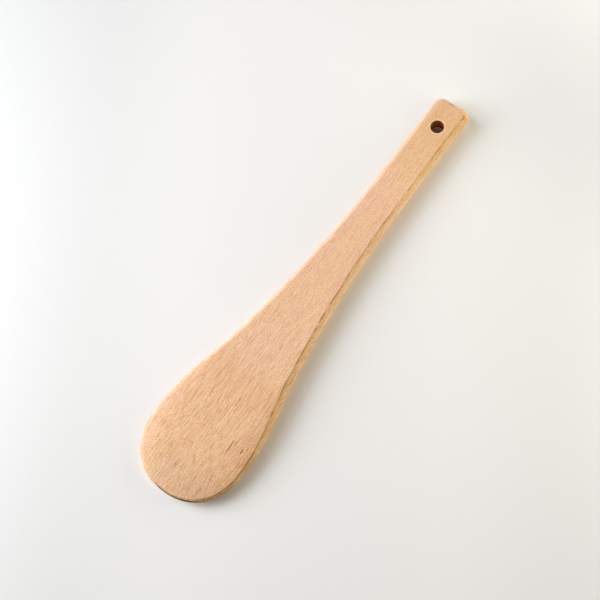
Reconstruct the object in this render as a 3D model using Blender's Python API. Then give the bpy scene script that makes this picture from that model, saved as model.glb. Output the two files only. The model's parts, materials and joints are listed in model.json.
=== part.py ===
"""Slim beech spatula: blade, neck and handle sawn and sanded from one board, with a drilled hanging hole.

It lies on the flat underside of its neck and handle, and the blade is thinned from both faces, so that its rim
stands clear. Y runs from the blade's tip to the handle's end, Z is up, and the origin is under the middle of
its length and width. All sizes are in millimetres until a mesh is made.
"""
import math

import bmesh
import bpy
from mathutils import Vector

MM = 0.001

# Outline, seen from above. The blade and neck are measured from the tip, the handle from its own end.
LENGTH = 300.0
BLADE_WIDTH = 68.0
BLADE_REACH = 37.5
TIP_FULLNESS = 2.25
NECK_FROM_TIP = 105.3
NECK_WIDTH = 46.0
NECK_FLARE = 0.156
SHOULDER_PULL = 24.5
NECK_PULL = 53.0
HANDLE_PULL = 63.0
HANDLE_STRAIGHT = 38.0
HANDLE_WIDTH = 25.0
END_CORNER_RADIUS = 6.0

# Thickness, and the way the upper face falls off towards its edges.
HANDLE_THICKNESS = 9.6
BLADE_THICKNESS = 4.5
UNDERSIDE_RISE = 3.2
SCARF_LENGTH = 85.0
SIDE_BULGE = 3.3
SIDE_POWER = 1.7
BULGE_POWER = 0.7
BLADE_CROWN_WIDTH = 18.0
BLADE_CROWN_DROP = 1.3
HANDLE_CROWN_WIDTH = 1.6
HANDLE_CROWN_DROP = 0.1
CROWN_FADE_START = 30.0
CROWN_FADE_LENGTH = 70.0
CROWN_POWER = 2.5
UNDERSIDE_EASING = 0.35

# Hanging hole.
HOLE_DIAMETER = 8.4
HOLE_FROM_END = 20.3
HOLE_RIM_EASING = 0.45
DRILL_OVERRUN = 1.0

# How finely curves are divided.
TIP_STEPS = 26
SHOULDER_STEPS = 22
NECK_STEPS = 26
STRAIGHT_STEPS = 4
CORNER_STEPS = 6
CROWN_STEPS = 6
SIDE_STEPS = 8
HOLE_STEPS = 48

BEECH_COLOUR = (0.83, 0.52, 0.30, 1.0)
BEECH_ROUGHNESS = 0.62
SHARP_ANGLE = math.radians(24.0)


def smooth_step(value):
    """Rises from 0 to 1 with no slope at either end."""
    clipped = min(max(value, 0.0), 1.0)
    return clipped * clipped * (3.0 - 2.0 * clipped)


def cubic(points, share):
    """A point on a cubic curve, and its normal, to the right of the way it runs."""
    start, pull_out, pull_in, end = points
    rest = 1.0 - share
    place = (rest ** 3 * start + 3.0 * rest ** 2 * share * pull_out
             + 3.0 * rest * share ** 2 * pull_in + share ** 3 * end)
    heading = (rest ** 2 * (pull_out - start) + 2.0 * rest * share * (pull_in - pull_out)
               + share ** 2 * (end - pull_in))
    return place, Vector((heading.y, -heading.x)).normalized()


def tip_curve():
    """The rounded tip, a quarter of a slightly squared oval, from the tip to the blade's widest station."""
    half = BLADE_WIDTH / 2.0
    stations = []
    for step in range(TIP_STEPS + 1):
        angle = math.pi / 2.0 * step / TIP_STEPS
        across = math.sin(angle) ** (2.0 / TIP_FULLNESS)
        along = max(math.cos(angle), 0.0) ** (2.0 / TIP_FULLNESS)
        slant = Vector((across ** (TIP_FULLNESS - 1.0) / half, -along ** (TIP_FULLNESS - 1.0) / BLADE_REACH))
        stations.append((Vector((half * across, BLADE_REACH * (1.0 - along))), slant.normalized()))
    return stations


def side_curve():
    """Shoulder and neck: convex from the widest station to the neck, then hollow into the handle."""
    widest = Vector((BLADE_WIDTH / 2.0, BLADE_REACH))
    neck = Vector((NECK_WIDTH / 2.0, NECK_FROM_TIP))
    handle = Vector((HANDLE_WIDTH / 2.0, LENGTH - HANDLE_STRAIGHT))
    flare = Vector((-NECK_FLARE, 1.0))
    shoulder = (widest, widest + Vector((0.0, SHOULDER_PULL)), neck - flare * SHOULDER_PULL, neck)
    hollow = (neck, neck + flare * NECK_PULL, handle - Vector((0.0, HANDLE_PULL)), handle)
    stations = []
    for points, steps in ((shoulder, SHOULDER_STEPS), (hollow, NECK_STEPS)):
        for step in range(1, steps + 1):
            stations.append(cubic(points, step / steps))
    return stations


def end_curve():
    """The parallel end of the handle and its rounded corner, up to where the flat end begins."""
    half = HANDLE_WIDTH / 2.0
    straight_y = LENGTH - HANDLE_STRAIGHT
    corner = Vector((half - END_CORNER_RADIUS, LENGTH - END_CORNER_RADIUS))
    stations = []
    for step in range(1, STRAIGHT_STEPS + 1):
        y = straight_y + (corner.y - straight_y) * step / STRAIGHT_STEPS
        stations.append((Vector((half, y)), Vector((1.0, 0.0))))
    for step in range(1, CORNER_STEPS + 1):
        angle = math.pi / 2.0 * step / CORNER_STEPS
        normal = Vector((math.cos(angle), math.sin(angle)))
        stations.append((corner + END_CORNER_RADIUS * normal, normal))
    return stations


def outline():
    """The whole outline, up the +X side from the tip and back down the -X side, each point with its normal."""
    right = tip_curve() + side_curve() + end_curve()
    left = [(Vector((-place.x, place.y)), Vector((-normal.x, normal.y))) for place, normal in right[:0:-1]]
    return right + left


def underside_at(y):
    """Height of the underside: flat under neck and handle, planed up over the blade towards the tip."""
    return UNDERSIDE_RISE * (1.0 - smooth_step(y / SCARF_LENGTH))


def top_at(y):
    """Height of the upper face along the centreline: level on the handle, planed down over the blade."""
    thickness = BLADE_THICKNESS + (HANDLE_THICKNESS - BLADE_THICKNESS) * smooth_step(y / SCARF_LENGTH)
    return underside_at(y) + thickness


def crown_at(y):
    """Width and drop of the fall-off at the upper face's edge, broad on the blade and slight on the handle."""
    blade_share = 1.0 - smooth_step((y - CROWN_FADE_START) / CROWN_FADE_LENGTH)
    width = HANDLE_CROWN_WIDTH + (BLADE_CROWN_WIDTH - HANDLE_CROWN_WIDTH) * blade_share
    drop = HANDLE_CROWN_DROP + (BLADE_CROWN_DROP - HANDLE_CROWN_DROP) * blade_share
    return width, drop


def section(place, normal):
    """Points down the edge at one station of the outline, from the upper face round to the underside."""
    crown_width, crown_drop = crown_at(place.y)
    low = underside_at(place.y)
    rim_height = top_at(place.y) - crown_drop - low
    fineness = rim_height / HANDLE_THICKNESS
    bulge = min(SIDE_BULGE * fineness ** BULGE_POWER, rim_height / 2.0)
    arris = place - normal * bulge
    points = []
    for step in range(CROWN_STEPS):
        share = step / CROWN_STEPS
        inset = arris - normal * crown_width * (1.0 - share)
        points.append((inset.x, inset.y, top_at(inset.y) - crown_drop * share ** CROWN_POWER))
    for step in range(SIDE_STEPS):
        rise = 1.0 - 2.0 * step / SIDE_STEPS
        side = place - normal * bulge * abs(rise) ** SIDE_POWER
        points.append((side.x, side.y, low + rim_height / 2.0 * (1.0 + rise)))
    easing = UNDERSIDE_EASING * fineness
    foot = arris - normal * easing
    points.append((arris.x, arris.y, low + easing / 2.0))
    points.append((foot.x, foot.y, underside_at(foot.y)))
    return points


def lay_rungs(body, ring):
    """Fills a ring that mirrors itself about the centreline with rungs from side to side."""
    body.faces.new((ring[0], ring[1], ring[-1]))
    for step in range(1, len(ring) // 2):
        body.faces.new((ring[step], ring[step + 1], ring[-step - 1], ring[-step]))


def finished_mesh(name, body):
    """Turns the faces outward and hands the shape over as a mesh."""
    bmesh.ops.recalc_face_normals(body, faces=body.faces)
    mesh = bpy.data.meshes.new(name)
    body.to_mesh(mesh)
    body.free()
    return mesh


def spatula_mesh():
    """The closed body without its hole: one column of points down the edge at every station."""
    body = bmesh.new()
    columns = []
    for place, normal in outline():
        points = section(place, normal)
        columns.append([body.verts.new((x * MM, (y - LENGTH / 2.0) * MM, z * MM)) for x, y, z in points])
    for here, beside in zip(columns, columns[1:] + columns[:1]):
        for level in range(len(here) - 1):
            body.faces.new((here[level], here[level + 1], beside[level + 1], beside[level]))
    lay_rungs(body, [column[0] for column in columns])
    lay_rungs(body, [column[-1] for column in columns])
    return finished_mesh("spatula", body)


def drill_mesh():
    """What the hole takes away: a straight bore that widens to an eased rim at each face."""
    bore = HOLE_DIAMETER / 2.0
    rim = bore + HOLE_RIM_EASING
    profile = [(rim + DRILL_OVERRUN, -DRILL_OVERRUN), (rim, 0.0), (bore, HOLE_RIM_EASING),
               (bore, HANDLE_THICKNESS - HOLE_RIM_EASING), (rim, HANDLE_THICKNESS),
               (rim + DRILL_OVERRUN, HANDLE_THICKNESS + DRILL_OVERRUN)]
    turns = [2.0 * math.pi * step / HOLE_STEPS for step in range(HOLE_STEPS)]
    drill = bmesh.new()
    rings = []
    for radius, height in profile:
        circle = [(radius * math.cos(turn) * MM, radius * math.sin(turn) * MM, height * MM) for turn in turns]
        rings.append([drill.verts.new(point) for point in circle])
    for low, high in zip(rings, rings[1:]):
        for step in range(HOLE_STEPS):
            drill.faces.new((low[step], low[step - 1], high[step - 1], high[step]))
    drill.faces.new(rings[0])
    drill.faces.new(rings[-1])
    return finished_mesh("hole_drill", drill)


def beech():
    """Plain sanded beech."""
    material = bpy.data.materials.new("beech")
    material.use_nodes = True
    shader = material.node_tree.nodes["Principled BSDF"]
    shader.inputs["Base Color"].default_value = BEECH_COLOUR
    shader.inputs["Roughness"].default_value = BEECH_ROUGHNESS
    shader.inputs["Metallic"].default_value = 0.0
    return material


def main():
    for item in list(bpy.data.objects):
        bpy.data.objects.remove(item, do_unlink=True)
    collection = bpy.context.scene.collection

    spatula = bpy.data.objects.new("spatula", spatula_mesh())
    spatula.data.materials.append(beech())
    spatula.data.shade_smooth()
    spatula.data.set_sharp_from_angle(angle=SHARP_ANGLE)
    collection.objects.link(spatula)

    drill = bpy.data.objects.new("hole_drill", drill_mesh())
    drill.location.y = (LENGTH / 2.0 - HOLE_FROM_END) * MM
    drill.hide_render = True
    drill.display_type = "WIRE"
    collection.objects.link(drill)

    hole = spatula.modifiers.new("hanging_hole", "BOOLEAN")
    hole.operation = "DIFFERENCE"
    hole.object = drill


main()
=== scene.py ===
"""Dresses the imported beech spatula: a finely divided body, procedural beech, floor, light and camera."""
import json
import math
from collections import namedtuple

import bmesh
import bpy
from mathutils import Matrix, Vector, noise

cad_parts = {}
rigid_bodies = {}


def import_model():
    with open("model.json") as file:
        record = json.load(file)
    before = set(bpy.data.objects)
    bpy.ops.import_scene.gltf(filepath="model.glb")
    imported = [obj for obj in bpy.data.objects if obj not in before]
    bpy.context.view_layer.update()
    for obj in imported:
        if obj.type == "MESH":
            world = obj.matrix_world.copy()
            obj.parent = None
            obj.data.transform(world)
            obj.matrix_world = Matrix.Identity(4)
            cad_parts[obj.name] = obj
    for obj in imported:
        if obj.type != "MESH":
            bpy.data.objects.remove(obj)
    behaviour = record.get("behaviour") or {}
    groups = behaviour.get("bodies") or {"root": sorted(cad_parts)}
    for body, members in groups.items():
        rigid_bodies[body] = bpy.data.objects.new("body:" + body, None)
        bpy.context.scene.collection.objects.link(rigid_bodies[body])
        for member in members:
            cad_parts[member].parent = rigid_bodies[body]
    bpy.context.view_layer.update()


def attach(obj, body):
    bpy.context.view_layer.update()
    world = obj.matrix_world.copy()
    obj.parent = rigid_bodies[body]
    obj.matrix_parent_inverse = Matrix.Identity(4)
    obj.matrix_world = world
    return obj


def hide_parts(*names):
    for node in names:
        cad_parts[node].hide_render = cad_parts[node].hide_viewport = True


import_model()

MM = 0.001
IN_MILLIMETRES = (1000.0, 1000.0, 1000.0)

# Outline in millimetres, measured from the blade's tip. These are the CAD part's own sizes.
LENGTH = 300.0
BLADE_WIDTH = 68.0
BLADE_REACH = 37.5
TIP_FULLNESS = 2.25
NECK_FROM_TIP = 105.3
NECK_WIDTH = 46.0
NECK_FLARE = 0.156
SHOULDER_PULL = 24.5
NECK_PULL = 53.0
HANDLE_PULL = 63.0
HANDLE_STRAIGHT = 38.0
HANDLE_WIDTH = 25.0
END_CORNER_RADIUS = 6.0

# Thickness, and how the faces fall off towards the edge.
HANDLE_THICKNESS = 9.6
BLADE_THICKNESS = 4.5
UNDERSIDE_RISE = 3.2
SCARF_LENGTH = 85.0
SIDE_BULGE = 3.3
SIDE_POWER = 1.7
BULGE_POWER = 0.7
BLADE_CROWN_WIDTH = 18.0
BLADE_CROWN_DROP = 1.3
HANDLE_CROWN_WIDTH = 1.6
HANDLE_CROWN_DROP = 0.1
CROWN_FADE_START = 30.0
CROWN_FADE_LENGTH = 70.0
CROWN_POWER = 2.5

# Eased edges. A wander is how far a size drifts along the edge, how fast it drifts, and which slice of the
# noise it follows.
TOP_EASING = 0.45
UNDERSIDE_EASING = 0.35
EASING_REACH = 1.4
EASING_MIDDLE = 0.75
EASING_WANDER = (0.5, 0.09, 4.0)
BULGE_WANDER = (0.12, 0.1, 9.0)

# Hanging hole.
HOLE_DIAMETER = 8.4
HOLE_FROM_END = 20.3
HOLE_RIM_EASING = 0.55
DRILL_OVERRUN = 1.0

# How finely the body is divided.
TIP_STEPS = 64
SHOULDER_STEPS = 48
NECK_STEPS = 72
STRAIGHT_STEPS = 14
CORNER_STEPS = 12
ACROSS_STEPS = 16
CROWN_STEPS = 12
EASING_STEPS = 5
SIDE_STEPS = 12
HOLE_STEPS = 96
RIM_STEPS = 6

# Camera: how the photograph is turned on the floor, the tilt off plumb, the way it leans, its roll, the
# point it looks at, from how far, and its lens.
HEADING = math.radians(54.5)
CAMERA_TILT = math.radians(18.714)
CAMERA_LEAN = math.radians(-21.364)
CAMERA_ROLL = math.radians(0.626)
LOOK_AT = (-4.90, 141.15)
CAMERA_DISTANCE = 705.8
SENSOR_WIDTH = 36.0
CAMERA_LENS = 69.05
NEAREST_SEEN = 0.01

# Beech. A noise is its turns per millimetre across, along and through the board, its detail and its
# roughness. A tint multiplies the colour. Limits are where a change begins and where it is complete, in
# millimetres: along from the tip, across from the centreline, and down the edge from the arris.
PINK_BEECH = (0.880, 0.512, 0.302, 1.0)
YELLOW_BEECH = (0.878, 0.526, 0.279, 1.0)
BAND_NOISE = ((0.10, 0.012, 0.1), 1.0, 0.5)
BAND_LIMITS = (0.32, 0.68)
WOOD_ROUGHNESS = 0.6

# Tones that come in along the board, and a painted shade, for the face falling away from the light, that
# deepens towards the tip and the right.
TONES = (
    ((82.0, 96.0), (1.04, 1.08, 1.17, 1.0)),
    ((235.0, 255.0), (0.938, 0.939, 0.878, 1.0)),
    ((255.0, 272.0), (0.98, 0.965, 0.936, 1.0)),
    ((272.0, 290.0), (0.964, 0.953, 0.958, 1.0)),
)
TIP_PAINTED_SHADE = (0.88, 0.90, 0.92, 1.0)
TIP_PAINTED_SHADE_PATCH = ((35.0, 8.0), (-45.0, 15.0))

# Grain: each layer's noise, its depth on the handle and how much deeper it gets on the blade. The noise is
# cut off above its brightest fibre, since the dark fibres stand out and pale ones hardly do. Browning says
# how much the grain darkens red, green and blue.
SPECKLE_NOISE = ((2.5, 2.0, 2.0), 0.0, 0.5)
FIBRE_NOISE = ((2.6, 0.14, 0.6), 0.0, 0.5)
STREAK_NOISE = ((2.2, 0.05, 0.4), 2.0, 0.5)
BROAD_NOISE = ((0.25, 0.03, 0.2), 1.0, 0.5)
GRAIN = (
    (SPECKLE_NOISE, 1.35, 0.20),
    (FIBRE_NOISE, 0.50, 0.55),
    (STREAK_NOISE, 0.36, 0.18),
    (BROAD_NOISE, 0.14, -0.08),
)
BLADE_GRAIN_LIMITS = (190.0, 60.0)
NOISE_MIDDLE = 0.48
BRIGHTEST_FIBRE = 0.08
BROWNING = (0.5, 1.1, 1.5)

# Flecks: turns per millimetre, where a fleck is full, where it ends, and the share of cells that has one.
SMALL_FLECKS = ((1.6, 0.16, 0.8), 0.08, 0.32, 0.7)
SMALL_FLECK_TINT = (0.88, 0.74, 0.62, 1.0)
LARGE_FLECKS = ((0.75, 0.12, 0.5), 0.06, 0.20, 0.4)
LARGE_FLECK_TINT = (0.95, 0.88, 0.82, 1.0)
FLECK_DEPTH = 0.5
RELIEF_STRENGTH = 0.35
RELIEF_DEPTH = 0.00006

# Sides: the upright part of the normal where the face ends, the painted light on each side, and the layers
# cut slantwise. The right side is painted brighter as fill light, more towards its foot as light bounced off
# the floor; the left side is painted paler as a highlight where the light strikes it.
SIDE_LIMITS = (0.955, 0.875)
TO_RIGHT_LIMITS = (-8.0, 8.0)
FOOT_LIMITS = (1.0, 6.0)
RIGHT_TOP_PAINTED_LIGHT = (1.06, 1.10, 0.90, 1.0)
RIGHT_FOOT_PAINTED_BOUNCE = (1.10, 1.20, 1.16, 1.0)
LEFT_SIDE_PAINTED_HIGHLIGHT = (0.93, 1.03, 1.20, 1.0)
LAYER_NOISE = ((0.8, 0.03, 0.1), 2.0, 0.6)
LAYER_LEAN = 0.2
LAYER_LIMITS = (0.40, 0.70)
LAYER_TINT = (0.90, 0.87, 0.82, 1.0)

# Arris: a broken line of painted shade just below it, faint on the lit left side, and a line of painted
# highlight just inside it.
DARK_LINE = 0.55
DARK_LINE_FADE = (0.60, 0.10)
DARK_LINE_NOISE = ((0.25, 0.11, 0.1), 2.0, 0.6)
DARK_LINE_BREAKS = (0.38, 0.60)
DARK_LINE_LEFT = 0.3
ARRIS_PAINTED_SHADE = (0.62, 0.46, 0.32, 1.0)
ARRIS_HIGHLIGHT_LINE = -0.45
ARRIS_HIGHLIGHT_FADE = (0.6, 0.2)
ARRIS_PAINTED_HIGHLIGHT = (1.03, 1.05, 1.05, 1.0)

# Nose: a painted contact shadow on the lower rim that begins lower and lower towards the right, and painted
# shade on the edge beside it.
DARK_RIM_PATCH = ((34.0, 12.0), (-8.0, 0.0))
DARK_RIM_BEGINS = 0.75
DARK_RIM_LOWERED = 1.1
DARK_RIM_LOWERING = (14.0, 30.0)
DARK_RIM_FADE = (0.0, 0.5)
NOSE_PAINTED_SHADOW = (0.16, 0.12, 0.09, 1.0)
NEAR_EDGE_PATCH = ((52.0, 40.0), (14.0, 26.0))
NEAR_EDGE_FADE = (-1.3, 0.2)
NEAR_EDGE_PAINTED_SHADE = (0.885, 0.885, 0.96, 1.0)

# Hole: a pale ring round it, and inside it darker drilled end grain with painted shade of the deep hole,
# both counted outwards from the bore.
RIM_RING = 0.6
RIM_RING_FADE = (0.6, 0.3)
RIM_RING_TINT = (1.15, 1.22, 1.40, 1.0)
BORE_FADE = (0.35, 0.08)
BORE_GRAIN_AND_PAINTED_SHADE = (0.42, 0.22, 0.09, 1.0)

# Single marks on the upper face: middle across and along, half width, half length and tint.
MARKS = (
    ((18.2, 43.5), 0.50, 5.8, (0.52, 0.26, 0.12, 1.0)),
    ((20.1, 47.4), 0.42, 3.0, (0.72, 0.50, 0.36, 1.0)),
    ((25.6, 45.6), 0.50, 2.8, (0.52, 0.27, 0.14, 1.0)),
    ((27.6, 48.6), 0.45, 1.8, (0.70, 0.48, 0.34, 1.0)),
    ((9.2, 37.3), 0.45, 2.6, (0.80, 0.66, 0.54, 1.0)),
    ((3.3, 53.4), 0.40, 2.2, (0.80, 0.68, 0.56, 1.0)),
    ((5.7, 69.6), 0.45, 1.8, (0.76, 0.62, 0.52, 1.0)),
    ((0.6, 56.6), 0.42, 3.0, (0.74, 0.54, 0.40, 1.0)),
    ((-10.4, 57.0), 0.45, 1.8, (0.76, 0.62, 0.52, 1.0)),
    ((-4.1, 71.7), 2.6, 6.0, (1.0, 1.04, 0.90, 1.0)),
    ((9.2, 294.9), 0.50, 0.5, (0.56, 0.40, 0.30, 1.0)),
    ((-1.8, 297.5), 2.8, 0.55, (0.46, 0.33, 0.22, 1.0)),
)
MARK_FADE = (1.0, 0.2)
MARK_HEIGHTS = (3.0, 4.0)

# Light. A panel has its place along the photograph's right, its up and above the floor in millimetres, its
# size in metres, its watts and its colour. A far light has azimuth and elevation in degrees and a strength.
COOL = (0.74, 0.85, 1.0)
PALE = (0.96, 0.975, 1.0)
CREAM = (1.0, 0.98, 0.88)
PEACH = (0.97, 0.93, 0.81)
WARM = (0.96, 0.83, 0.64)
PANELS = (
    ("window_low", (-500.0, 0.0, 150.0), 0.25, 0.833, PALE),
    ("window_mid", (-900.0, 0.0, 400.0), 0.5, 5.12, PALE),
    ("window_high", (-700.0, 300.0, 350.0), 0.5, 1.466, COOL),
    ("wall_right", (500.0, 0.0, 300.0), 0.3, 0.36, WARM),
    ("reflector_right", (400.0, -50.0, 100.0), 0.25, 0.62, PEACH),
    ("reflector_top", (250.0, 350.0, 100.0), 0.25, 0.63, CREAM),
)
FAR_LIGHTS = (
    ("sky_low", 150.0, 28.0, 0.844, COOL),
    ("sky_mid", 150.0, 48.0, 0.337, PALE),
    ("sky_left", 180.0, 48.0, 0.429, PALE),
    ("room_left", 240.0, 48.0, 0.278, WARM),
    ("room_right", 300.0, 48.0, 0.375, WARM),
)
FAR_LIGHT_SPREAD = math.radians(30.0)
FAR_LIGHT_DISTANCE = 1.0
ROOM_DARK = (0.0, 0.0, 0.0, 1.0)
BACKDROP_COLOUR = (0.75, 0.74, 0.72, 1.0)

# Floor: half its width in metres, its colour, and the painted shade that darkens it out to both sides and to
# the far corner, as the light falls off.
FLOOR_REACH = 3.0
FLOOR_COLOUR = (0.932, 0.916, 0.895, 1.0)
FLOOR_ROUGHNESS = 0.85
FLOOR_SIDE_LIMITS = (70.0, 160.0)
FLOOR_SIDE_PAINTED_SHADE = (0.898, 0.907, 0.909, 1.0)
FLOOR_CORNER_LIMITS = (110.0, 210.0)
FLOOR_CORNER_PAINTED_SHADE = (0.895, 0.905, 0.915, 1.0)

# Where a shaded point is: its place, its parts across, up and along, how far down the edge it is, and how
# far it counts as side, as right-hand side and as blade.
Spot = namedtuple("Spot", "place x z along down side to_right on_blade")


def smooth_step(value):
    """Rises from 0 to 1 with no slope at either end."""
    clipped = min(max(value, 0.0), 1.0)
    return clipped * clipped * (3.0 - 2.0 * clipped)


def cubic(points, share):
    """A point on a cubic curve, and its normal, to the right of the way it runs."""
    start, pull_out, pull_in, end = points
    rest = 1.0 - share
    place = (rest ** 3 * start + 3.0 * rest ** 2 * share * pull_out
             + 3.0 * rest * share ** 2 * pull_in + share ** 3 * end)
    heading = (rest ** 2 * (pull_out - start) + 2.0 * rest * share * (pull_in - pull_out)
               + share ** 2 * (end - pull_in))
    return place, Vector((heading.y, -heading.x)).normalized()


def tip_curve():
    """The rounded tip, from the centreline to the blade's widest station."""
    half = BLADE_WIDTH / 2.0
    stations = []
    for step in range(TIP_STEPS + 1):
        angle = math.pi / 2.0 * step / TIP_STEPS
        across = math.sin(angle) ** (2.0 / TIP_FULLNESS)
        along = max(math.cos(angle), 0.0) ** (2.0 / TIP_FULLNESS)
        slant = Vector((across ** (TIP_FULLNESS - 1.0) / half, -along ** (TIP_FULLNESS - 1.0) / BLADE_REACH))
        stations.append((Vector((half * across, BLADE_REACH * (1.0 - along))), slant.normalized()))
    return stations


def side_curve():
    """Shoulder and neck: convex from the widest station to the neck, then hollow into the handle."""
    widest = Vector((BLADE_WIDTH / 2.0, BLADE_REACH))
    neck = Vector((NECK_WIDTH / 2.0, NECK_FROM_TIP))
    handle = Vector((HANDLE_WIDTH / 2.0, LENGTH - HANDLE_STRAIGHT))
    flare = Vector((-NECK_FLARE, 1.0))
    shoulder = (widest, widest + Vector((0.0, SHOULDER_PULL)), neck - flare * SHOULDER_PULL, neck)
    hollow = (neck, neck + flare * NECK_PULL, handle - Vector((0.0, HANDLE_PULL)), handle)
    stations = []
    for points, steps in ((shoulder, SHOULDER_STEPS), (hollow, NECK_STEPS)):
        for step in range(1, steps + 1):
            stations.append(cubic(points, step / steps))
    return stations


def end_curve():
    """The parallel end of the handle and its rounded corner."""
    half = HANDLE_WIDTH / 2.0
    straight_y = LENGTH - HANDLE_STRAIGHT
    corner = Vector((half - END_CORNER_RADIUS, LENGTH - END_CORNER_RADIUS))
    stations = []
    for step in range(1, STRAIGHT_STEPS + 1):
        y = straight_y + (corner.y - straight_y) * step / STRAIGHT_STEPS
        stations.append((Vector((half, y)), Vector((1.0, 0.0))))
    for step in range(1, CORNER_STEPS + 1):
        angle = math.pi / 2.0 * step / CORNER_STEPS
        normal = Vector((math.cos(angle), math.sin(angle)))
        stations.append((corner + END_CORNER_RADIUS * normal, normal))
    return stations


def outline():
    """The whole outline, up the +X side and back down the -X side, each point with its normal."""
    right = tip_curve() + side_curve() + end_curve()
    left = [(Vector((-place.x, place.y)), Vector((-normal.x, normal.y))) for place, normal in right[:0:-1]]
    return right + left


def underside_at(y):
    """Height of the underside: flat on the floor under neck and handle, rising under the blade."""
    return UNDERSIDE_RISE * (1.0 - smooth_step(y / SCARF_LENGTH))


def top_at(y):
    """Height of the upper face along the centreline."""
    thickness = BLADE_THICKNESS + (HANDLE_THICKNESS - BLADE_THICKNESS) * smooth_step(y / SCARF_LENGTH)
    return underside_at(y) + thickness


def crown_at(y):
    """Width and drop of the upper face's fall-off at its edge, broad on the blade, slight on the handle."""
    blade_share = 1.0 - smooth_step((y - CROWN_FADE_START) / CROWN_FADE_LENGTH)
    width = HANDLE_CROWN_WIDTH + (BLADE_CROWN_WIDTH - HANDLE_CROWN_WIDTH) * blade_share
    drop = HANDLE_CROWN_DROP + (BLADE_CROWN_DROP - HANDLE_CROWN_DROP) * blade_share
    return width, drop


def wander(place, reach, speed, level):
    """A slow natural drift along the edge, read from a level slice of noise."""
    return reach * noise.noise(Vector((place.x * speed, place.y * speed, level)))


def eased(before, corner, after):
    """Points that round a corner, from the point before it to the point after it."""
    points = []
    for step in range(EASING_STEPS + 1):
        share = step / EASING_STEPS
        rest = 1.0 - share
        points.append(tuple(rest * rest * a + 2.0 * rest * share * b + share * share * c
                            for a, b, c in zip(before, corner, after)))
    return points


def section(place, normal):
    """Points down the edge at one station of the outline, from the upper face round to the underside."""
    crown_width, crown_drop = crown_at(place.y)
    low = underside_at(place.y)
    rim = top_at(place.y) - crown_drop
    height = rim - low
    fineness = height / HANDLE_THICKNESS
    bulge = min(SIDE_BULGE * fineness ** BULGE_POWER, height / 2.0) * (1.0 + wander(place, *BULGE_WANDER))
    arris = place - normal * bulge
    easing = TOP_EASING * (EASING_MIDDLE + wander(place, *EASING_WANDER))

    def crown(inset):
        """A point of the upper face at a distance in from the arris."""
        point = arris - normal * inset
        share = 1.0 - inset / crown_width
        return (point.x, point.y, top_at(point.y) - crown_drop * share ** CROWN_POWER)

    def barrel(rise):
        """A point of the rounded side, at a level from 1 at the arris to -1 at the foot."""
        point = place - normal * bulge * abs(rise) ** SIDE_POWER
        return (point.x, point.y, low + height / 2.0 * (1.0 + rise))

    points = []
    for step in range(CROWN_STEPS):
        points.append(crown(easing + (crown_width - easing) * (1.0 - step / CROWN_STEPS)))
    start = 1.0 - EASING_REACH * easing / height
    points += eased(crown(easing), (arris.x, arris.y, rim), barrel(start))
    low_easing = UNDERSIDE_EASING * fineness
    stop = EASING_REACH * low_easing / height - 1.0
    for step in range(1, SIDE_STEPS):
        points.append(barrel(start + (stop - start) * step / SIDE_STEPS))
    foot = arris - normal * low_easing
    points += eased(barrel(stop), (arris.x, arris.y, low), (foot.x, foot.y, underside_at(foot.y)))
    return points


def lay_rungs(body, ring):
    """Fills a ring that mirrors itself about the centreline with rungs, each divided across."""
    from_arris = body.verts.layers.float["from_arris"]

    def rung(right, left):
        """The corners of one rung, from its right end to its left end."""
        inner = []
        for step in range(1, ACROSS_STEPS):
            inner.append(body.verts.new(right.co.lerp(left.co, step / ACROSS_STEPS)))
            inner[-1][from_arris] = -BLADE_CROWN_WIDTH
        return [right] + inner + [left]

    before = rung(ring[1], ring[-1])
    for low, high in zip(before, before[1:]):
        body.faces.new((ring[0], low, high))
    for step in range(2, len(ring) // 2 + 1):
        here = rung(ring[step], ring[-step])
        for index in range(ACROSS_STEPS):
            body.faces.new((before[index], before[index + 1], here[index + 1], here[index]))
        before = here


def finished_mesh(name, body):
    """Turns the faces outward and hands the shape over as a mesh."""
    bmesh.ops.recalc_face_normals(body, faces=body.faces)
    mesh = bpy.data.meshes.new(name)
    body.to_mesh(mesh)
    body.free()
    return mesh


def spatula_mesh():
    """The closed body without its hole. Each corner keeps how far down the edge it is from the arris."""
    body = bmesh.new()
    from_arris = body.verts.layers.float.new("from_arris")
    columns = []
    for place, normal in outline():
        points = [Vector(point) for point in section(place, normal)]
        column = [body.verts.new((point - Vector((0.0, LENGTH / 2.0, 0.0))) * MM) for point in points]
        lengths = [0.0]
        for before, after in zip(points, points[1:]):
            lengths.append(lengths[-1] + (after - before).length)
        for corner, length in zip(column, lengths):
            corner[from_arris] = length - lengths[CROWN_STEPS + EASING_STEPS // 2]
        columns.append(column)
    for here, beside in zip(columns, columns[1:] + columns[:1]):
        for level in range(len(here) - 1):
            body.faces.new((here[level], here[level + 1], beside[level + 1], beside[level]))
    lay_rungs(body, [column[0] for column in columns])
    lay_rungs(body, [column[-1] for column in columns])
    return finished_mesh("beech_spatula", body)


def drill_mesh():
    """What the hole takes away: a straight bore that widens in a quarter round at each face."""
    bore = HOLE_DIAMETER / 2.0
    profile = [(bore + HOLE_RIM_EASING, -DRILL_OVERRUN)]
    for step in range(RIM_STEPS + 1):
        angle = math.pi / 2.0 * step / RIM_STEPS
        radius = bore + HOLE_RIM_EASING * (1.0 - math.sin(angle))
        profile.append((radius, HOLE_RIM_EASING * (1.0 - math.cos(angle))))
    profile += [(radius, HANDLE_THICKNESS - height) for radius, height in profile[::-1]]
    turns = [2.0 * math.pi * step / HOLE_STEPS for step in range(HOLE_STEPS)]
    drill = bmesh.new()
    rings = []
    for radius, height in profile:
        circle = [(radius * math.cos(turn) * MM, radius * math.sin(turn) * MM, height * MM)
                  for turn in turns]
        rings.append([drill.verts.new(point) for point in circle])
    for low, high in zip(rings, rings[1:]):
        for step in range(HOLE_STEPS):
            drill.faces.new((low[step], low[step - 1], high[step - 1], high[step]))
    drill.faces.new(rings[0])
    drill.faces.new(rings[-1])
    return finished_mesh("hole_drill", drill)


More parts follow.
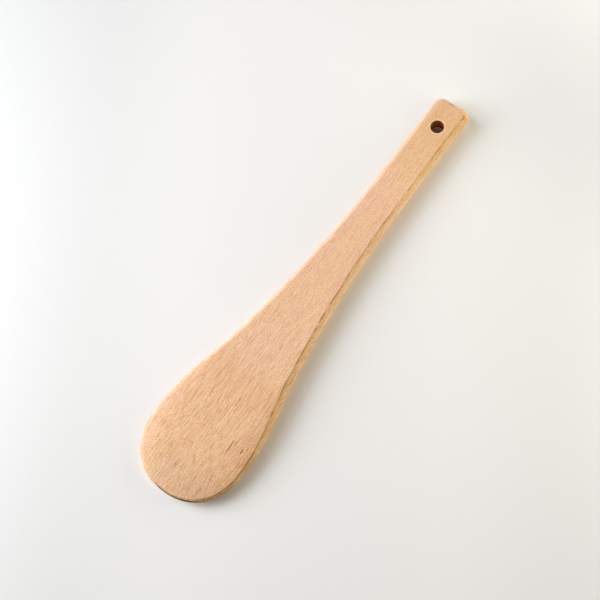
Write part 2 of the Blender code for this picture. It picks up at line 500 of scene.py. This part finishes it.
def drilled_body():
    """The body with its hanging hole, as a plain mesh object."""
    shown = bpy.context.scene.collection.objects
    body = bpy.data.objects.new("beech_spatula", spatula_mesh())
    shown.link(body)
    drill = bpy.data.objects.new("hole_drill", drill_mesh())
    drill.location.y = (LENGTH / 2.0 - HOLE_FROM_END) * MM
    shown.link(drill)
    cut = body.modifiers.new("hanging_hole", "BOOLEAN")
    cut.operation = "DIFFERENCE"
    cut.object = drill
    graph = bpy.context.evaluated_depsgraph_get()
    mesh = bpy.data.meshes.new_from_object(body.evaluated_get(graph))
    body.modifiers.clear()
    body.data = mesh
    mesh.name = "beech_spatula"
    bpy.data.objects.remove(drill, do_unlink=True)
    mesh.shade_smooth()
    return body


def plug(tree, socket, value):
    """Links a socket to the value if that is a socket, or else writes the value there."""
    if isinstance(value, bpy.types.NodeSocket):
        tree.links.new(value, socket)
    else:
        socket.default_value = value


def node(tree, kind, inputs=(), **settings):
    """A new node with its settings and its inputs, which are given as (name or number, value)."""
    made = tree.nodes.new(kind)
    for name, value in settings.items():
        setattr(made, name, value)
    for name, value in inputs:
        plug(tree, made.inputs[name], value)
    return made


def maths(tree, operation, *values):
    """One step of arithmetic on numbers."""
    return node(tree, "ShaderNodeMath", enumerate(values), operation=operation).outputs[0]


def vector_maths(tree, operation, *values, result="Vector"):
    """One step of arithmetic on vectors. Its result is a vector, or a number where it is called Value."""
    return node(tree, "ShaderNodeVectorMath", enumerate(values), operation=operation).outputs[result]


def both(tree, first, second):
    """How far two shares hold together."""
    return maths(tree, "MULTIPLY", first, second)


def distance_to(tree, value, middle):
    """How far the value is from the middle, either way."""
    return maths(tree, "ABSOLUTE", maths(tree, "SUBTRACT", value, middle))


def between(tree, value, begin, complete):
    """Rises smoothly from 0 where the change begins to 1 where it is complete, in either direction."""
    settings = (("Value", value), ("From Min", begin), ("From Max", complete))
    return node(tree, "ShaderNodeMapRange", settings, interpolation_type="SMOOTHSTEP").outputs["Result"]


def mixed(tree, share, first, second, blend="MIX"):
    """A colour between two colours."""
    settings = (("Factor", share), ("A", first), ("B", second))
    return node(tree, "ShaderNodeMix", settings, data_type="RGBA", blend_type=blend).outputs["Result"]


def shaded(tree, colour, share, tint):
    """The colour, multiplied by a tint as far as the share says."""
    return mixed(tree, share, colour, tint, "MULTIPLY")


def scaled(tree, vector, scale):
    """The place, counted in steps of a different size along each axis."""
    return vector_maths(tree, "MULTIPLY", vector, scale)


def millimetres(tree, coordinates):
    """The place on the object itself, in millimetres."""
    return scaled(tree, coordinates.outputs["Object"], IN_MILLIMETRES)


def cloud(tree, vector, scale, detail, rough):
    """Noise about 0.5, stretched by the scale."""
    settings = (("Vector", scaled(tree, vector, scale)), ("Scale", 1.0), ("Detail", detail),
                ("Roughness", rough))
    return node(tree, "ShaderNodeTexNoise", settings).outputs["Fac"]


def lenses(tree, place, scale, full, end, share):
    """Short lens shapes along the grain: 1 inside, 0 outside. Only a share of the cells has one."""
    settings = (("Vector", scaled(tree, place, scale)), ("Scale", 1.0), ("Randomness", 1.0))
    cells = node(tree, "ShaderNodeTexVoronoi", settings)
    shape = between(tree, cells.outputs["Distance"], end, full)
    chosen = node(tree, "ShaderNodeSeparateColor", (("Color", cells.outputs["Color"]),)).outputs["Red"]
    return both(tree, shape, between(tree, chosen, 1.0 - share, 1.0 - share / 2.0))


def patch(tree, spot, along_limits, across_limits):
    """An area of the spatula: 1 where both limits are passed, 0 outside."""
    return both(tree, between(tree, spot.along, *along_limits), between(tree, spot.x, *across_limits))


def streak_mark(tree, spot, middle, half_width, half_length):
    """A single soft streak: 1 in its middle, 0 outside."""
    across = maths(tree, "DIVIDE", maths(tree, "SUBTRACT", spot.x, middle[0]), half_width)
    along = maths(tree, "DIVIDE", maths(tree, "SUBTRACT", spot.along, middle[1]), half_length)
    away = maths(tree, "ADD", maths(tree, "MULTIPLY", across, across),
                 maths(tree, "MULTIPLY", along, along))
    return between(tree, away, *MARK_FADE)


def locate(tree):
    """Reads where the shaded point is."""
    coordinates = node(tree, "ShaderNodeTexCoord")
    place = millimetres(tree, coordinates)
    x, y, z = node(tree, "ShaderNodeSeparateXYZ", (("Vector", place),)).outputs
    along = maths(tree, "ADD", y, LENGTH / 2.0)
    down = node(tree, "ShaderNodeAttribute", attribute_name="from_arris").outputs["Fac"]
    normal = (("Vector", coordinates.outputs["Normal"]),)
    upright = node(tree, "ShaderNodeSeparateXYZ", normal).outputs["Z"]
    side = between(tree, maths(tree, "ABSOLUTE", upright), *SIDE_LIMITS)
    to_right = between(tree, x, *TO_RIGHT_LIMITS)
    on_blade = between(tree, along, *BLADE_GRAIN_LIMITS)
    return Spot(place, x, z, along, down, side, to_right, on_blade)


def ground_colour(tree, spot):
    """Bands of pink and yellow beech, the tones along the board, painted shade towards the tip, and painted
    light on its sides.
    """
    band = between(tree, cloud(tree, spot.place, *BAND_NOISE), *BAND_LIMITS)
    colour = mixed(tree, band, PINK_BEECH, YELLOW_BEECH)
    for limits, tint in TONES:
        colour = shaded(tree, colour, between(tree, spot.along, *limits), tint)
    # Painted shade: darker towards the tip and the right.
    colour = shaded(tree, colour, patch(tree, spot, *TIP_PAINTED_SHADE_PATCH), TIP_PAINTED_SHADE)
    # Painted light on the sides: brighter on the right and towards its foot, paler on the lit left.
    right_painted_light = mixed(tree, between(tree, spot.down, *FOOT_LIMITS), RIGHT_TOP_PAINTED_LIGHT, RIGHT_FOOT_PAINTED_BOUNCE)
    side_painted_light = mixed(tree, spot.to_right, LEFT_SIDE_PAINTED_HIGHLIGHT, right_painted_light)
    return shaded(tree, colour, spot.side, side_painted_light)


def with_grain(tree, spot, colour, small_flecks):
    """Adds the layers of fibre, most of them deeper on the blade, and the flecks."""
    for layer, depth, deeper in GRAIN:
        value = maths(tree, "SUBTRACT", cloud(tree, spot.place, *layer), NOISE_MIDDLE)
        dark = maths(tree, "MINIMUM", value, BRIGHTEST_FIBRE)
        strength = maths(tree, "MULTIPLY_ADD", spot.on_blade, deeper, depth)
        swing = maths(tree, "MULTIPLY", dark, strength)
        lift = vector_maths(tree, "MULTIPLY_ADD", swing, BROWNING, (1.0, 1.0, 1.0))
        colour = vector_maths(tree, "MULTIPLY", colour, lift)
    large_flecks = lenses(tree, spot.place, *LARGE_FLECKS)
    colour = shaded(tree, colour, small_flecks, SMALL_FLECK_TINT)
    return shaded(tree, colour, both(tree, large_flecks, spot.on_blade), LARGE_FLECK_TINT)


def with_edges(tree, spot, colour):
    """Adds the layers that show on the side, and the painted shade and painted highlight that follow the
    arris.
    """
    lean = maths(tree, "MULTIPLY_ADD", spot.along, LAYER_LEAN, spot.z)
    slanted = node(tree, "ShaderNodeCombineXYZ", (("X", lean), ("Y", spot.along), ("Z", spot.x)))
    layer = between(tree, cloud(tree, slanted.outputs["Vector"], *LAYER_NOISE), *LAYER_LIMITS)
    colour = shaded(tree, colour, both(tree, layer, spot.side), LAYER_TINT)

    # Painted shade just below the arris, broken, and fainter on the lit left side.
    broken = between(tree, cloud(tree, spot.place, *DARK_LINE_NOISE), *DARK_LINE_BREAKS)
    line = both(tree, between(tree, distance_to(tree, spot.down, DARK_LINE), *DARK_LINE_FADE), broken)
    faded = maths(tree, "MULTIPLY_ADD", spot.to_right, 1.0 - DARK_LINE_LEFT, DARK_LINE_LEFT)
    colour = shaded(tree, colour, both(tree, line, faded), ARRIS_PAINTED_SHADE)
    # Painted highlight just inside the arris.
    painted_highlight = between(tree, distance_to(tree, spot.down, ARRIS_HIGHLIGHT_LINE), *ARRIS_HIGHLIGHT_FADE)
    return shaded(tree, colour, painted_highlight, ARRIS_PAINTED_HIGHLIGHT)


def with_nose(tree, spot, colour):
    """Adds painted shadow to the lower rim of the nose and painted shade to the edge beside it."""
    # Painted contact shadow on the nose's lower rim, where it comes near the floor.
    lowering = between(tree, spot.x, *DARK_RIM_LOWERING)
    begins = maths(tree, "MULTIPLY_ADD", lowering, DARK_RIM_LOWERED, DARK_RIM_BEGINS)
    under = between(tree, maths(tree, "SUBTRACT", spot.down, begins), *DARK_RIM_FADE)
    colour = shaded(tree, colour, both(tree, under, patch(tree, spot, *DARK_RIM_PATCH)), NOSE_PAINTED_SHADOW)
    # Painted shade on the upper face beside the nose's right edge.
    beside = between(tree, spot.down, *NEAR_EDGE_FADE)
    return shaded(tree, colour, both(tree, beside, patch(tree, spot, *NEAR_EDGE_PATCH)), NEAR_EDGE_PAINTED_SHADE)


def with_marks(tree, spot, colour):
    """Adds the single marks of the upper face."""
    above = between(tree, spot.z, *MARK_HEIGHTS)
    for middle, half_width, half_length, tint in MARKS:
        mark = streak_mark(tree, spot, middle, half_width, half_length)
        colour = shaded(tree, colour, both(tree, mark, above), tint)
    return colour


def with_hole(tree, spot, colour):
    """Adds the pale ring round the hanging hole, and inside it darker drilled end grain with painted shade.
    """
    from_hole = maths(tree, "SUBTRACT", spot.along, LENGTH - HOLE_FROM_END)
    hole = node(tree, "ShaderNodeCombineXYZ", (("X", spot.x), ("Y", from_hole)))
    radius = vector_maths(tree, "LENGTH", hole.outputs["Vector"], result="Value")
    bore = HOLE_DIAMETER / 2.0
    ring = between(tree, distance_to(tree, radius, bore + RIM_RING), *RIM_RING_FADE)
    colour = shaded(tree, colour, ring, RIM_RING_TINT)
    # Inside the bore: darker drilled end grain, and painted shade of the deep hole.
    inside = between(tree, radius, *(bore + limit for limit in BORE_FADE))
    return shaded(tree, colour, inside, BORE_GRAIN_AND_PAINTED_SHADE)


def beech():
    """Sanded beech: fibres, flecks and bands along the grain, and painted shade and highlight along the
    edges.
    """
    material = bpy.data.materials.new("beech_wood")
    material.use_nodes = True
    tree = material.node_tree
    shader = tree.nodes["Principled BSDF"]
    spot = locate(tree)
    small_flecks = lenses(tree, spot.place, *SMALL_FLECKS)
    colour = with_grain(tree, spot, ground_colour(tree, spot), small_flecks)
    for layer in (with_edges, with_nose, with_marks, with_hole):
        colour = layer(tree, spot, colour)
    plug(tree, shader.inputs["Base Color"], colour)
    shader.inputs["Roughness"].default_value = WOOD_ROUGHNESS
    hollow = maths(tree, "MULTIPLY", small_flecks, FLECK_DEPTH)
    relief = maths(tree, "SUBTRACT", cloud(tree, spot.place, *FIBRE_NOISE), hollow)
    settings = (("Strength", RELIEF_STRENGTH), ("Distance", RELIEF_DEPTH), ("Height", relief))
    plug(tree, shader.inputs["Normal"], node(tree, "ShaderNodeBump", settings).outputs["Normal"])
    return material


def image_axes():
    """The directions on the floor that lie along the photograph's right and up."""
    right = Vector((math.sin(HEADING), math.cos(HEADING), 0.0))
    up = Vector((-math.cos(HEADING), math.sin(HEADING), 0.0))
    return right, up


def aim_camera():
    """A camera that looks down on the spatula from a little beside it."""
    right, up = image_axes()
    away = up * math.cos(CAMERA_LEAN) + right * math.sin(CAMERA_LEAN)
    across = right * math.cos(CAMERA_LEAN) - up * math.sin(CAMERA_LEAN)
    plumb = Vector((0.0, 0.0, 1.0))
    forward = away * math.sin(CAMERA_TILT) - plumb * math.cos(CAMERA_TILT)
    lifted = away * math.cos(CAMERA_TILT) + plumb * math.sin(CAMERA_TILT)
    turn = CAMERA_LEAN + CAMERA_ROLL
    x_axis = across * math.cos(turn) + lifted * math.sin(turn)
    y_axis = -across * math.sin(turn) + lifted * math.cos(turn)
    data = bpy.data.cameras.new("camera")
    data.sensor_width = SENSOR_WIDTH
    data.lens = CAMERA_LENS
    data.clip_start = NEAREST_SEEN
    item = bpy.data.objects.new("camera", data)
    place = Vector((LOOK_AT[0], LOOK_AT[1] - LENGTH / 2.0, 0.0)) * MM - forward * CAMERA_DISTANCE * MM
    turned = Matrix((x_axis, y_axis, -forward)).transposed()
    item.matrix_world = Matrix.Translation(place) @ turned.to_4x4()
    bpy.context.scene.collection.objects.link(item)
    bpy.context.scene.camera = item


def add_lamp(name, data, direction, distance, strength, colour):
    """Places a lamp's data where the direction leads, facing back, hidden from the camera itself."""
    data.energy = strength
    data.color = colour
    item = bpy.data.objects.new(name, data)
    item.location = direction * distance
    item.rotation_euler = direction.to_track_quat("Z", "Y").to_euler()
    item.visible_camera = False
    bpy.context.scene.collection.objects.link(item)


def light_room():
    """A broad pale window to the left, warm walls, and pale reflectors on the right, near the handle."""
    right, up = image_axes()
    for name, (to_right, to_up, above), size, watts, colour in PANELS:
        stand = (right * to_right + up * to_up + Vector((0.0, 0.0, above))) * MM
        data = bpy.data.lights.new(name, "AREA")
        data.size = size
        add_lamp(name, data, stand.normalized(), stand.length, watts, colour)
    for name, azimuth, elevation, strength, colour in FAR_LIGHTS:
        angle = math.radians(azimuth)
        rise = math.radians(elevation)
        level = (right * math.cos(angle) + up * math.sin(angle)) * math.cos(rise)
        data = bpy.data.lights.new(name, "SUN")
        data.angle = FAR_LIGHT_SPREAD
        direction = level + Vector((0.0, 0.0, math.sin(rise)))
        add_lamp(name, data, direction, FAR_LIGHT_DISTANCE, strength, colour)


def hang_backdrop():
    """A room that gives no light of its own and looks pale past the edge of the floor."""
    world = bpy.data.worlds.new("room")
    world.use_nodes = True
    tree = world.node_tree
    seen = node(tree, "ShaderNodeLightPath").outputs["Is Camera Ray"]
    backdrop = mixed(tree, seen, ROOM_DARK, BACKDROP_COLOUR)
    plug(tree, tree.nodes["Background"].inputs["Color"], backdrop)
    bpy.context.scene.world = world


def lay_floor():
    """A plain pale sheet for the spatula to lie on, with painted shade a little darker out to the sides and
    the far corner.
    """
    body = bmesh.new()
    bmesh.ops.create_grid(body, x_segments=1, y_segments=1, size=FLOOR_REACH)
    floor = bpy.data.objects.new("floor", finished_mesh("floor", body))
    bpy.context.scene.collection.objects.link(floor)
    material = bpy.data.materials.new("pale_floor")
    material.use_nodes = True
    tree = material.node_tree
    shader = tree.nodes["Principled BSDF"]
    place = millimetres(tree, node(tree, "ShaderNodeTexCoord"))
    right, up = image_axes()
    across = vector_maths(tree, "DOT_PRODUCT", place, right, result="Value")
    aside = maths(tree, "ABSOLUTE", across)
    corner = vector_maths(tree, "DOT_PRODUCT", place, (right + up).normalized(), result="Value")
    # Painted shade where the light falls off, out to the sides and to the far corner.
    colour = shaded(tree, FLOOR_COLOUR, between(tree, aside, *FLOOR_SIDE_LIMITS), FLOOR_SIDE_PAINTED_SHADE)
    colour = shaded(tree, colour, between(tree, corner, *FLOOR_CORNER_LIMITS), FLOOR_CORNER_PAINTED_SHADE)
    plug(tree, shader.inputs["Base Color"], colour)
    shader.inputs["Roughness"].default_value = FLOOR_ROUGHNESS
    floor.data.materials.append(material)


piece = drilled_body()
piece.data.materials.clear()
piece.data.materials.append(beech())
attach(piece, "root")
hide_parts("spatula")
lay_floor()
light_room()
hang_backdrop()
aim_camera()
bpy.context.scene.view_settings.view_transform = "Standard"
